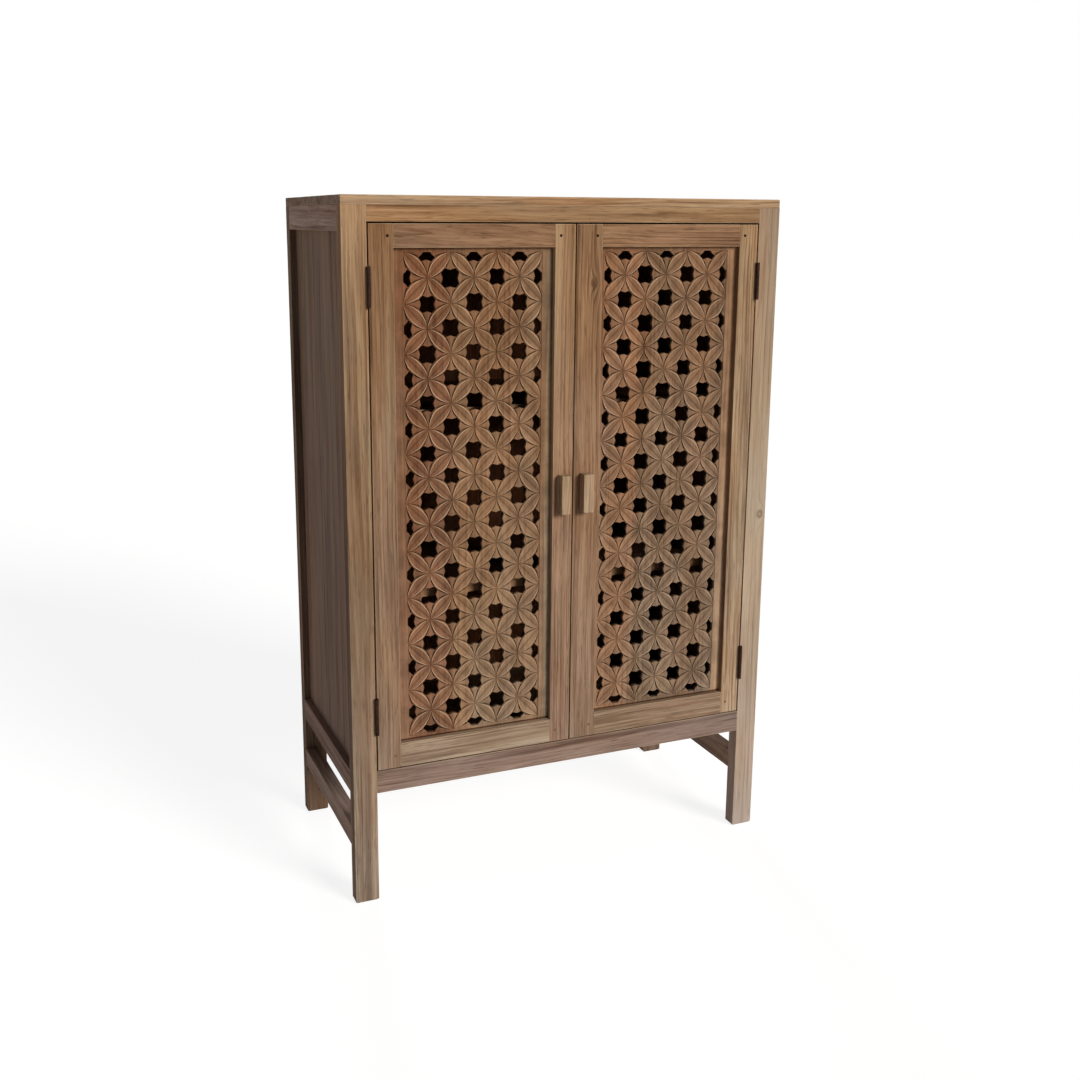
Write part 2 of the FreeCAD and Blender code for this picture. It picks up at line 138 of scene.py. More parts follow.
def grainNoise(tree, vector, stretch, detail, output="Fac"):
    node = addNode(tree, "ShaderNodeTexNoise")
    feed(tree, node.inputs["Vector"], calcVector(tree, "MULTIPLY", vector, stretch))
    node.inputs["Scale"].default_value = 1.0
    node.inputs["Detail"].default_value = detail
    node.inputs["Roughness"].default_value = noiseRoughness
    return node.outputs[output]


def ramp(tree, value, stops):
    node = addNode(tree, "ShaderNodeValToRGB")
    elements = node.color_ramp.elements
    while len(elements) < len(stops):
        elements.new(0.5)
    for element, (position, colour) in zip(elements, stops):
        element.position = position
        element.color = colour
    feed(tree, node.inputs["Fac"], value)
    return node.outputs["Color"]


def readAttribute(tree, name, output="Vector"):
    return addNode(tree, "ShaderNodeAttribute", attribute_name=name).outputs[output]


def addBump(tree, shader, height, look):
    bump = addNode(tree, "ShaderNodeBump")
    bump.inputs["Strength"].default_value = look["bumpStrength"]
    bump.inputs["Distance"].default_value = look["bumpHeight"]
    tree.links.new(height, bump.inputs["Height"])
    tree.links.new(bump.outputs["Normal"], shader.inputs["Normal"])


def newMaterial(name):
    material = bpy.data.materials.new(name)
    material.use_nodes = True
    return material, material.node_tree, material.node_tree.nodes["Principled BSDF"]


# weathered teak: grain runs along z of "grain", "tint" colours a board and carries painted light and shade,
# "finish" holds the pale edges (wear and a painted highlight), ring strength and calm, "knot" is the place
# seen from a knot, in knot sizes, with the knot's size last
teak = {
    "pale": linear(177, 146, 113),
    "body": linear(152, 120, 90),
    "brown": linear(122, 91, 65),
    "line": linear(74, 50, 34),
    "grey": linear(150, 129, 109),
    # pale colour of edges and carved rims: wear with a painted highlight
    "wearAndHighlight": linear(212, 184, 150),
    "warm": (1.05, 0.985, 0.94, 1),
    "cool": (0.96, 1.01, 1.04, 1),
    "tones": {"pale": 0.2, "body": 0.4, "brown": 0.6, "line": 0.95},  # figure of each colour
    "ringsPerMetre": 80.0,
    "unevenRings": 4.0,
    "clearRings": (0.6, 1.0),  # ring strengths, faded to unbroken
    "ringShare": 0.8,
    "evenFigure": 0.42,
    "wander": 0.011,
    "greyShare": 0.28,
    "poreShare": 0.5,
    "wearAndHighlightShare": (0.15, 0.5),
    "knotFade": -0.6,
    "knotPush": 1.1,
    "knotRings": 2.2,
    "knotRind": (1.4, 0.6),
    "knotHeart": (0.6, 0.1, 0.0, 0.6),
    "knotShare": 0.55,
    "hollowShade": (0.02, 0.62, 0.05, 1.0),  # relief, then its shade
    "rimRelief": (0.88, 1.0),
    "rimShare": (0.4, 0.85),
    "roughFigure": (0.1, 0.9),
    "roughness": (0.6, 0.85),
    "shine": 0.07,
    "figureHeight": -0.6,
    "bumpStrength": 0.45,
    "bumpHeight": 0.3 * mm,
}
ringProfile = ((0.0, 0.0), (0.62, 0.12), (0.85, 0.85), (0.93, 1.0), (1.0, 0.0))  # darkness over one ring

# noise in the wood: how often across and along the grain in a metre, detail, limits, share of the figure
grainLayers = {
    "drift": {"stretch": (5.0, 2.0), "detail": 2.0},
    "uneven": {"stretch": (40.0, 0.0), "detail": 1.0},
    "shown": {"stretch": (26.0, 3.2), "detail": 2.0, "limits": (0.38, 0.64)},
    "broad": {"stretch": (26.0, 3.0), "detail": 2.0, "limits": (0.3, 0.7), "share": 0.16},
    "bands": {"stretch": (110.0, 2.6), "detail": 2.0, "limits": (0.28, 0.72), "share": 0.2},
    "streaks": {"stretch": (320.0, 8.0), "detail": 4.0, "limits": (0.3, 0.7), "share": 0.22},
    "fibre": {"stretch": (900.0, 40.0), "detail": 3.0, "share": 0.24},
    "pores": {"stretch": (620.0, 26.0), "detail": 1.0, "limits": (0.61, 0.7)},
    "blotch": {"stretch": (13.0, 4.0), "detail": 3.0, "limits": (0.36, 0.7)},
    "hue": {"stretch": (14.0, 1.5), "detail": 2.0, "limits": (0.34, 0.66)},
    "patch": {"stretch": (34.0, 34.0), "detail": 3.0, "limits": (0.32, 0.68, 0.8, 1.14)},
}


def grainLayer(tree, name, vector, output="Fac"):
    layer = grainLayers[name]
    across, along = layer["stretch"]
    value = grainNoise(tree, vector, (across, across, along), layer["detail"], output)
    if "limits" in layer:
        value = spread(tree, value, *layer["limits"])
    return value


def teakFigure(tree, look, ringStrength):
    # lines swerve round the knot, wander along the board and thicken unevenly
    knot = readAttribute(tree, "knot")
    knotParts = split(tree, knot)
    reach = calcVector(tree, "LENGTH", knot, result="Value")
    swerve = calc(tree, "EXPONENT", calc(tree, "MULTIPLY", reach, look["knotFade"]))
    pushed = calc(tree, "MULTIPLY", calc(tree, "MULTIPLY", knotParts["X"], swerve), knotParts["Z"])
    aside = addNode(tree, "ShaderNodeCombineXYZ")
    feed(tree, aside.inputs["X"], calc(tree, "MULTIPLY", pushed, look["knotPush"]))
    grain = calcVector(tree, "SUBTRACT", readAttribute(tree, "grain"), aside.outputs["Vector"])
    drift = calcVector(tree, "SUBTRACT", grainLayer(tree, "drift", grain, "Color"), noiseMiddle)
    sideways = look["wander"] * 2
    drift = calcVector(tree, "MULTIPLY", drift, (sideways, sideways, 0.0))
    wandered = calcVector(tree, "ADD", grain, drift)
    flat = calcVector(tree, "MULTIPLY", wandered, (1.0, 1.0, 0.0))
    radius = calcVector(tree, "LENGTH", flat, result="Value")
    turns = calc(tree, "MULTIPLY", radius, look["ringsPerMetre"])
    uneven = calc(tree, "MULTIPLY", grainLayer(tree, "uneven", flat), look["unevenRings"])
    turns = calc(tree, "ADD", turns, uneven)
    turns = calc(tree, "ADD", turns, calc(tree, "MULTIPLY", swerve, look["knotRings"]))
    stops = [(stop, (dark, dark, dark, 1)) for stop, dark in ringProfile]
    ring = ramp(tree, calc(tree, "FRACT", turns), stops)
    shown = spread(tree, ringStrength, *look["clearRings"])
    shown = calc(tree, "MAXIMUM", grainLayer(tree, "shown", grain), shown)
    ring = calc(tree, "MULTIPLY", ring, shown)
    figure = calc(tree, "MULTIPLY", ring, calc(tree, "MULTIPLY", ringStrength, look["ringShare"]))
    for name in ("broad", "bands", "streaks", "fibre"):
        part = calc(tree, "MULTIPLY", grainLayer(tree, name, wandered), grainLayers[name]["share"])
        figure = calc(tree, "ADD", figure, part)
    heart = spread(tree, reach, *look["knotHeart"])
    rind = spread(tree, reach, *look["knotRind"])
    knotted = calc(tree, "MULTIPLY", rind, calc(tree, "SUBTRACT", 1.0, heart))
    pores = grainLayer(tree, "pores", wandered)
    blotch = grainLayer(tree, "blotch", grain)
    return figure, pores, blotch, knotted


def carvedShade(tree, look, colour, blotch):
    # painted shade in the hollows, patchy leaves, and pale wear with a painted highlight on the upper rims
    relief = readAttribute(tree, "relief", "Fac")
    patch = grainLayer(tree, "patch", readAttribute(tree, "grain"))
    shade = calc(tree, "MULTIPLY", spread(tree, relief, *look["hollowShade"]), patch)
    colour = mixColour(tree, 1.0, colour, shade, "MULTIPLY")
    # the rims: pale wear with a painted highlight
    caught = spread(tree, blotch, 0.0, 1.0, *look["rimShare"])
    rim = calc(tree, "MULTIPLY", spread(tree, relief, *look["rimRelief"]), caught)
    return mixColour(tree, rim, colour, look["wearAndHighlight"])


def teakMaterial(name, changes, carved=False):
    look = {**teak, **changes}
    material, tree, shader = newMaterial(name)
    wearAndHighlight, ringStrength, calm = split(tree, readAttribute(tree, "finish"))
    figure, pores, blotch, knotted = teakFigure(tree, look, ringStrength)
    lively = calc(tree, "SUBTRACT", 1.0, calm)
    figure = calc(tree, "MULTIPLY", calc(tree, "SUBTRACT", figure, look["evenFigure"]), lively)
    figure = calc(tree, "ADD", figure, look["evenFigure"])
    colour = ramp(tree, figure, [(stop, look[tone]) for tone, stop in look["tones"].items()])
    colour = mixColour(tree, calc(tree, "MULTIPLY", blotch, look["greyShare"]), colour, look["grey"])
    hue = grainLayer(tree, "hue", readAttribute(tree, "grain"))
    colour = mixColour(tree, 1.0, colour, mixColour(tree, hue, look["warm"], look["cool"]), "MULTIPLY")
    pored = calc(tree, "MULTIPLY", calc(tree, "MULTIPLY", pores, lively), look["poreShare"])
    colour = mixColour(tree, pored, colour, look["line"])
    colour = mixColour(tree, calc(tree, "MULTIPLY", knotted, look["knotShare"]), colour, look["line"])
    colour = mixColour(tree, 1.0, colour, readAttribute(tree, "tint"), "MULTIPLY")
    # pale edges: wear with a painted highlight on the rounded arrises
    worn = calc(tree, "MULTIPLY", wearAndHighlight, spread(tree, blotch, 0.0, 1.0, *look["wearAndHighlightShare"]))
    colour = mixColour(tree, worn, colour, look["wearAndHighlight"])
    if carved:
        colour = carvedShade(tree, look, colour, blotch)
    tree.links.new(colour, shader.inputs["Base Color"])
    roughness = spread(tree, figure, *look["roughFigure"], *look["roughness"])
    tree.links.new(roughness, shader.inputs["Roughness"])
    shader.inputs["Specular IOR Level"].default_value = look["shine"]
    height = calc(tree, "SUBTRACT", calc(tree, "MULTIPLY", figure, look["figureHeight"]), pores)
    addBump(tree, shader, height, look)
    return material


woods = {
    "case_wood": teakMaterial("caseTeak", {}),
    "door_wood": teakMaterial("doorTeak", {"ringsPerMetre": 130.0}),
    "panel_wood": teakMaterial("panelTeak", {"ringsPerMetre": 85.0, "wander": 0.009}),
    "inner_wood": teakMaterial("innerTeak", {"pale": linear(128, 98, 70), "body": linear(108, 80, 56),
                                             "brown": linear(90, 64, 44), "line": linear(60, 42, 28)}),
    "handle_wood": teakMaterial("handleTeak", {"ringsPerMetre": 150.0}),
    "carved_wood": teakMaterial("carvedTeak", {"bumpHeight": 0.2 * mm}, carved=True),
}
print("woods ready:", len(woods))


# boards: along is the grain's axis, tints colour it from its lower to its upper end, pith is the heart's
# place across and behind the board, tilt how it leans, rings their strength, calm how plain the grain is,
# faces the painted light and shade of sides that look one way, knot its place from the middle, its size
# and drawn length
axisNames = "xyz"
acrossAxis, depthAxis, upAxis = range(3)
leftSide, rightSide, frontSide, topSide = (-1, 0, 0), (1, 0, 0), (0, -1, 0), (0, 0, 1)
facing = 0.5  # least cosine that takes a side's painted light and shade
boardDefaults = {"pith": None, "tilt": 0.008, "tints": ((1.0, 1.0, 1.0),), "planks": 1,
                 "round": 0.9 * mm, "rings": 0.5, "calm": 0.15, "faces": (), "knot": None}
grainDraws = {"pithAside": (0.12, 0.3), "pithBehind": 0.08, "start": 9, "plankTint": 0.07}
# shelves: painted light on the front edges, painted shade on the tops
shelfPaintedLightAndShade = ((frontSide, (1.6, 1.5, 1.4)), (topSide, (0.46, 0.37, 0.33)))
joint = {"shade": 0.42, "reach": 1.0 * mm, "slack": 0.5 * mm}
noKnot = (99.0, 99.0, 0.0)


def timber(along, slot, **changes):
    return {**boardDefaults, "along": along, "slot": slot, **changes}


boards = {
    "front_left_post": timber(
        "z", "case_wood", faces=((leftSide, (0.73, 0.62, 0.59)),),
        tints=((1.06, 1.24, 1.55), (0.63, 0.63, 0.64), (1.29, 1.34, 1.30)),
    ),
    "front_right_post": timber(
        "z", "case_wood", faces=((leftSide, (1.1, 1.05, 1.05)),), calm=0.6, knot=(0.009, 0.035, 0.006, 1.3),
        tints=((1.26, 1.73, 2.64), (1.49, 1.75, 2.07), (1.09, 1.22, 1.42)),
    ),
    "back_left_post": timber(
        "z", "case_wood", faces=((frontSide, (0.45, 0.47, 0.56)), (leftSide, (0.62, 0.58, 0.58))),
    ),
    "back_right_post": timber("z", "case_wood", faces=((frontSide, (0.5, 0.54, 0.68)),)),
    "top_board": timber(
        "x", "case_wood", planks=4, faces=((leftSide, (0.77, 0.81, 1.0)),), tints=((1.28, 1.27, 1.23),),
    ),
    "front_top_rail": timber("x", "case_wood", rings=0.6, tints=((1.01, 0.92, 0.80),)),
    "front_bottom_rail": timber("x", "case_wood", rings=0.6, tints=((0.76, 0.88, 1.25),)),
    "back_top_rail": timber("x", "case_wood"),
    "back_bottom_rail": timber("x", "case_wood"),
    "left_top_rail": timber("y", "case_wood", tints=((1.42, 1.50, 1.96),)),
    "right_top_rail": timber("y", "case_wood"),
    "left_bottom_rail": timber("y", "case_wood", tints=((0.77, 0.77, 1.03),)),
    "right_bottom_rail": timber("y", "case_wood"),
    "left_stretcher": timber("y", "case_wood", tints=((1.16, 1.21, 1.62),)),
    "right_stretcher": timber(
        "y", "case_wood", faces=((leftSide, (1.15, 1.25, 1.7)), (topSide, (0.5, 0.52, 0.65))),
    ),
    "left_side_panel": timber(
        "z", "panel_wood", planks=4, calm=0.45, faces=((rightSide, (0.85, 0.7, 0.62)),),
        tints=((0.81, 0.85, 1.11), (0.79, 0.78, 0.87)),
    ),
    "right_side_panel": timber("z", "panel_wood", planks=4, calm=0.3, faces=((leftSide, (1.5, 1.1, 0.92)),)),
    "back_panel": timber("z", "inner_wood", planks=6, faces=((frontSide, (0.95, 0.64, 0.53)),)),
    "bottom_board": timber("x", "inner_wood", planks=3),
    "lower_shelf": timber("x", "inner_wood", planks=3, faces=shelfPaintedLightAndShade),
    "upper_shelf": timber("x", "inner_wood", planks=3, faces=shelfPaintedLightAndShade),
    "bottom_board_cleats": timber("y", "inner_wood"),
    "lower_shelf_cleats": timber("y", "inner_wood"),
    "upper_shelf_cleats": timber("y", "inner_wood"),
    "left_hinge_stile": timber("z", "door_wood", tints=((0.90, 0.98, 1.18), (0.72, 0.64, 0.54))),
    "left_meeting_stile": timber("z", "door_wood", tints=((1.01, 1.05, 1.26), (1.09, 1.00, 0.87))),
    "left_door_top_rail": timber(
        "x", "door_wood", pith=(0.01, 0.05), tilt=0.05, rings=0.7, tints=((0.82, 0.73, 0.71),),
    ),
    "left_door_bottom_rail": timber("x", "door_wood", tints=((0.98, 1.21, 1.55),)),
    "right_hinge_stile": timber(
        "z", "door_wood", faces=((leftSide, (0.62, 0.5, 0.44)),),
        tints=((1.31, 1.58, 1.90), (1.04, 1.10, 1.09)),
    ),
    "right_meeting_stile": timber(
        "z", "door_wood", rings=0.7, knot=(0.009, 0.36, 0.006, 1.5),
        tints=((0.82, 0.89, 1.09), (0.82, 0.75, 0.67)),
    ),
    "right_door_top_rail": timber("x", "door_wood", rings=0.6, tints=((0.90, 0.86, 0.86),)),
    "right_door_bottom_rail": timber("x", "door_wood", tints=((0.92, 1.00, 1.17),)),
    "left_handle": timber("z", "handle_wood", tints=((1.16, 1.37, 1.52),)),
    "right_handle": timber("z", "handle_wood", tints=((1.33, 1.56, 1.84),)),
}
roundable = {"shortest": 8 * mm, "turn": math.radians(50), "segments": 2, "profile": 0.5,
             "weld": 0.01 * mm, "flatness": math.radians(0.5)}


def bodyOf(node):
    return frame["nodes"][node]["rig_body"]


def grainAxes(node, along):
    low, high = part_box(node)
    size = high - low
    grainAxis = axisNames.index(along)
    across = [axis for axis in range(3) if axis != grainAxis]
    across.sort(key=lambda axis: size[axis], reverse=True)
    return across[0], across[1], grainAxis


def cornerVertices(mesh):
    corners = np.empty(len(mesh.loops), dtype=np.int64)
    mesh.loops.foreach_get("vertex_index", corners)
    return corners


def readCorners(mesh):
    points = np.empty(len(mesh.vertices) * 3)
    mesh.vertices.foreach_get("co", points)
    return points.reshape(-1, 3)[cornerVertices(mesh)]


def writeGrain(mesh, node, board, plankOf=None, wearAndHighlightOf=None, shadeOf=None):
    draw = random.Random(node)
    width, thickness, grainAxis = grainAxes(node, board["along"])
    low, high = (np.array(corner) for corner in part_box(node))
    places = readCorners(mesh)
    local = places - (low + high) / 2
    count = len(places)
    planks = np.zeros(count, dtype=np.int64) if plankOf is None else plankOf
    rise = (places[:, upAxis] - low[upAxis]) / (high[upAxis] - low[upAxis])
    steps = np.linspace(0, 1, len(board["tints"]))
    tint = np.stack([np.interp(rise, steps, channel) for channel in zip(*board["tints"])], axis=1)
    grain = np.empty((count, 3))
    finish = np.zeros((count, 3))
    finish[:, 1:] = board["rings"], board["calm"]
    knot = np.full((count, 3), noKnot)
    behind = grainDraws["pithBehind"]
    for plank in range(board["planks"]):
        chosen = planks == plank
        aside = draw.choice((-1, 1)) * draw.uniform(*grainDraws["pithAside"])
        straight = (aside, draw.uniform(-behind, behind))
        pith = board["pith"] or straight
        lean = [draw.uniform(-1, 1) * board["tilt"] for axis in range(2)]
        along = local[chosen][:, grainAxis]
        grain[chosen, 0] = local[chosen][:, width] - pith[0] + lean[0] * along
        grain[chosen, 1] = local[chosen][:, thickness] - pith[1] + lean[1] * along
        grain[chosen, 2] = along + draw.uniform(0, grainDraws["start"])
        if board["planks"] > 1:
            tint[chosen] *= 1 + draw.uniform(-grainDraws["plankTint"], grainDraws["plankTint"])
    if board["knot"]:
        across, along, size, drawn = board["knot"]
        knot[:, 0] = (local[:, width] - across) / size
        knot[:, 1] = (local[:, grainAxis] - along) / (size * drawn)
        knot[:, 2] = size
    if wearAndHighlightOf is not None:
        finish[:, 0] = wearAndHighlightOf
    if shadeOf is not None:
        tint *= shadeOf
    for name, values in (("grain", grain), ("tint", tint), ("finish", finish), ("knot", knot)):
        layer = mesh.attributes.new(name, "FLOAT_VECTOR", "CORNER")
        layer.data.foreach_set("vector", values.astype(np.float32).ravel())


def cleanCopy(node):
    shape = bmesh.new()
    shape.from_mesh(frame["nodes"][node].data)
    bmesh.ops.remove_doubles(shape, verts=shape.verts, dist=roundable["weld"])
    bmesh.ops.dissolve_limit(
        shape, angle_limit=roundable["flatness"], verts=shape.verts, edges=shape.edges, delimit=set()
    )
    return shape


def roundEdges(shape, width):
    arrises = []
    for edge in shape.edges:
        if len(edge.link_faces) == 2 and edge.is_convex and edge.calc_length() > roundable["shortest"]:
            if edge.calc_face_angle() > roundable["turn"]:
                arrises.append(edge)
    result = bmesh.ops.bevel(
        shape, geom=arrises, offset=width, segments=roundable["segments"], profile=roundable["profile"],
        affect="EDGES", clamp_overlap=True
    )
    return result["faces"]


def placePiece(name, mesh, node):
    piece = bpy.data.objects.new(name, mesh)
    bpy.context.scene.collection.objects.link(piece)
    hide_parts(node)
    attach(piece, bodyOf(node))


boardBoxes = {node: [np.array(corner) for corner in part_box(node)] for node in boards}


def meetsBoard(node, face):
    # whether the rounded edge looks into a joint with another board
    beyond = np.array(face.calc_center_median() + face.normal * joint["reach"])
    slack = joint["slack"]
    for other, (low, high) in boardBoxes.items():
        if other != node and np.all(beyond > low - slack) and np.all(beyond < high + slack):
            return True
    return False


def cutAt(shape, axis, spot):
    normal = Vector((0, 0, 0))
    normal[axis] = 1
    geometry = shape.verts[:] + shape.edges[:] + shape.faces[:]
    bmesh.ops.bisect_plane(shape, geom=geometry, plane_co=spot, plane_no=normal)


def cutFaces(shape, axis, low, high, parts):
    for seam in range(1, parts):
        cutAt(shape, axis, low.lerp(high, seam / parts))


def makeBoard(node, board):
    shape = cleanCopy(node)
    # rounded arrises are marked for pale wear with a painted highlight
    wearAndHighlightLayer = shape.faces.layers.float.new("wearAndHighlight")
    for face in roundEdges(shape, board["round"]):
        face[wearAndHighlightLayer] = 1.0
    width = grainAxes(node, board["along"])[0]
    low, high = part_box(node)
    step = (high[width] - low[width]) / board["planks"]
    cutFaces(shape, width, low, high, board["planks"])
    cutFaces(shape, upAxis, low, high, len(board["tints"]) - 1)
    plankOf = []
    wearAndHighlightOf = []
    shadeOf = []
    for face in shape.faces:
        share = (face.calc_center_median()[width] - low[width]) / step
        plank = min(max(int(share), 0), board["planks"] - 1)
        wearAndHighlight = face[wearAndHighlightLayer]
        shade = (1.0, 1.0, 1.0)
        # sides that look one way get their painted light and shade
        for direction, tint in board["faces"]:
            if face.normal.dot(Vector(direction)) > facing:
                shade = tint
        if wearAndHighlight and meetsBoard(node, face):
            wearAndHighlight = 0.0
            shade = [joint["shade"] * value for value in shade]
        corners = len(face.verts)
        plankOf += [plank] * corners
        wearAndHighlightOf += [wearAndHighlight] * corners
        shadeOf += [shade] * corners
    mesh = bpy.data.meshes.new(node + "_grain")
    shape.to_mesh(mesh)
    shape.free()
    writeGrain(mesh, node, board, np.array(plankOf), np.array(wearAndHighlightOf), np.array(shadeOf))
    mesh.attributes.remove(mesh.attributes["wearAndHighlight"])
    mesh.materials.append(woods[board["slot"]])
    placePiece(node + "_board", mesh, node)


for node, board in boards.items():
    makeBoard(node, board)
print("boards cut:", len(boards))


# carved panels: leaves between flower centres, pierced by a hole at every other crossing. Stations are shares
# of a leaf's or tab's width, and depths without a unit are in millimetres
carving = {
    "columns": 3,
    "rows": 10,
    "tileWidth": 80.7 * mm,
    "tileHeight": 82.0 * mm,
    "margin": 18.2 * mm,
    "tabCorner": 0.63,
    "tabTip": 0.70,
    "tabSteps": 6,
    "holeSteps": 6,
    "leafStations": (0.0, 0.08, 0.25, 0.45, 0.63, 0.75, 0.83, 0.9, 1.0),
    "leafDepths": (1.8, 1.5, 1.2, 0.85, 0.48, 0.15, 0.03, 0.9, 2.6),
    "holeEdge": 1.3,
    "tabStations": (0.0, 0.2, 0.5, 1.0),
    "tabDepths": (2.6, 1.4, 1.15, 1.05),
    "flowerDepth": 1.7,
    "flowerReach": 0.13,
    "deepest": 2.6 * mm,
    "marginRelief": 0.8,
    "lineHeight": 2.5 * mm,
    "lineFade": 0.4 * mm,
    "lineShade": (0.32, 0.24, 0.18),
    "sway": 0.7 * mm,
    "holeSway": 0.12,
    "borderLength": (0.5, 1.0),
    "borderReach": 0.24,
    "borderHold": (0.35, 0.65),
    "unevenDepth": 0.25 * mm,
    "knifeMarks": 0.06 * mm,
    "leastDepth": 0.02 * mm,
    "flush": 0.005 * mm,
    "holdReach": 0.5,
    "holeNear": 0.25,
    "holeFade": 0.5,
    "holeGrow": 0.8,
    "holeShift": 0.35,
    "swayScale": 16,
    "slowScale": 40,
    "quickScale": 300,
    "noiseRange": 50,
    "slowLayer": 9,
    "quickLayer": 4,
    "roughSide": "right",
    "roughColumns": 0.9,
    "roughBoost": 8.0,
    "weld": 0.02 * mm,
    "turnSlack": 1e-6,
    "edgeSlack": 1e-4,
    "backFacing": 0.9,
    "sharpTurn": math.radians(38),
    "seed": 7,
}


def smoothStep(value):
    value = min(max(value, 0.0), 1.0)
    return value * value * (3 - 2 * value)


def lowerArc(turn):
    return math.sin(turn), 1 - math.cos(turn)


def upperArc(turn):
    return 1 - math.cos(turn), math.sin(turn)


def between(first, second, share):
    return tuple(a + (b - a) * share for a, b in zip(first, second))


def leafTurns():
    bend = math.asin(carving["tabCorner"])
    quarter = math.pi / 2
    turns = [bend * step / carving["tabSteps"] for step in range(carving["tabSteps"])]
    span = quarter - 2 * bend
    turns += [bend + span * step / carving["holeSteps"] for step in range(carving["holeSteps"] + 1)]
    turns += [quarter - turn for turn in reversed(turns[:carving["tabSteps"]])]
    return turns, bend


def blendDepth(turn, depth):
    width = math.sin(turn) + math.cos(turn) - 1
    full = smoothStep(width / carving["flowerReach"])
    return carving["flowerDepth"] * (1 - full) + depth * full


def quarterTile():
    turns, bend = leafTurns()
    quarter = math.pi / 2
    slack = carving["turnSlack"]
    back = float("inf")
    faces = []
    stations = carving["leafStations"]
    sides = [-station for station in reversed(stations[1:])] + list(stations)
    depths = list(reversed(carving["leafDepths"][1:])) + list(carving["leafDepths"])

    def onLeaf(turn, index):
        place = between(upperArc(turn), lowerArc(turn), (sides[index] + 1) / 2)
        depth = depths[index]
        beside = bend - slack < turn < quarter - bend + slack
        if abs(sides[index]) == 1 and beside:
            depth = carving["holeEdge"]
        return (*place, blendDepth(turn, depth))

    def onTab(turn, index):
        share = carving["tabStations"][index]
        axisPoint = (math.sin(turn) * carving["tabTip"] / carving["tabCorner"], 0.0)
        place = between(lowerArc(turn), axisPoint, share)
        depth = carving["tabDepths"][index]
        if share == 0 and turn > bend - slack:
            depth = carving["holeEdge"]
        return (*place, blendDepth(turn, depth))

    def behind(point):
        return (point[0], point[1], back)

    flips = (
        lambda p: p,
        lambda p: (p[1], p[0], p[2]),
        lambda p: (1 - p[1], 1 - p[0], p[2]),
        lambda p: (1 - p[0], 1 - p[1], p[2]),
    )
    last = len(sides) - 1
    middle = last // 2
    tabLast = len(carving["tabStations"]) - 1
    for first, second in zip(turns[:-1], turns[1:]):
        for index in range(last):
            faces.append([onLeaf(first, index), onLeaf(second, index),
                          onLeaf(second, index + 1), onLeaf(first, index + 1)])
        for near, far in ((0, middle), (middle, last)):
            ring = [onLeaf(first, near), onLeaf(second, near), onLeaf(second, far), onLeaf(first, far)]
            faces.append([behind(point) for point in ring])
        if first > bend - slack and second < quarter - bend + slack:
            for index in (0, last):
                edge = [onLeaf(first, index), onLeaf(second, index)]
                faces.append(edge + [behind(edge[1]), behind(edge[0])])
        if second < bend + slack:
            tab = []
            for index in range(tabLast):
                tab.append([onTab(first, index), onTab(second, index),
                            onTab(second, index + 1), onTab(first, index + 1)])
            ring = [onTab(first, 0), onTab(second, 0), onTab(second, tabLast), onTab(first, tabLast)]
            tab.append([behind(point) for point in ring])
            if second > bend - slack:
                end = [onTab(second, index) for index in range(tabLast + 1)]
                tab.append(end + [behind(end[-1]), behind(end[0])])
            for flip in flips:
                faces += [[flip(point) for point in face] for face in tab]
    return faces


def tileMesh(thickness):
    shape = bmesh.new()
    halfWidth = carving["tileWidth"] / 2
    halfHeight = carving["tileHeight"] / 2
    for face in quarterTile():
        for sideways in (-1, 1):
            for upright in (-1, 1):
                corners = []
                for across, up, depth in face:
                    inward = thickness if math.isinf(depth) else depth * mm
                    place = (across * sideways * halfWidth, inward, up * upright * halfHeight)
                    corners.append(shape.verts.new(place))
                shape.faces.new(corners)
    bmesh.ops.remove_doubles(shape, verts=shape.verts, dist=carving["weld"])
    mesh = bpy.data.meshes.new("carvedTile")
    shape.to_mesh(mesh)
    shape.free()
    return mesh


gridInputs = {"Tile": "Object", "Columns": "Int", "Rows": "Int", "Tile Width": "Float",
              "Tile Height": "Float", "Weld": "Float", "Wood": "Material"}


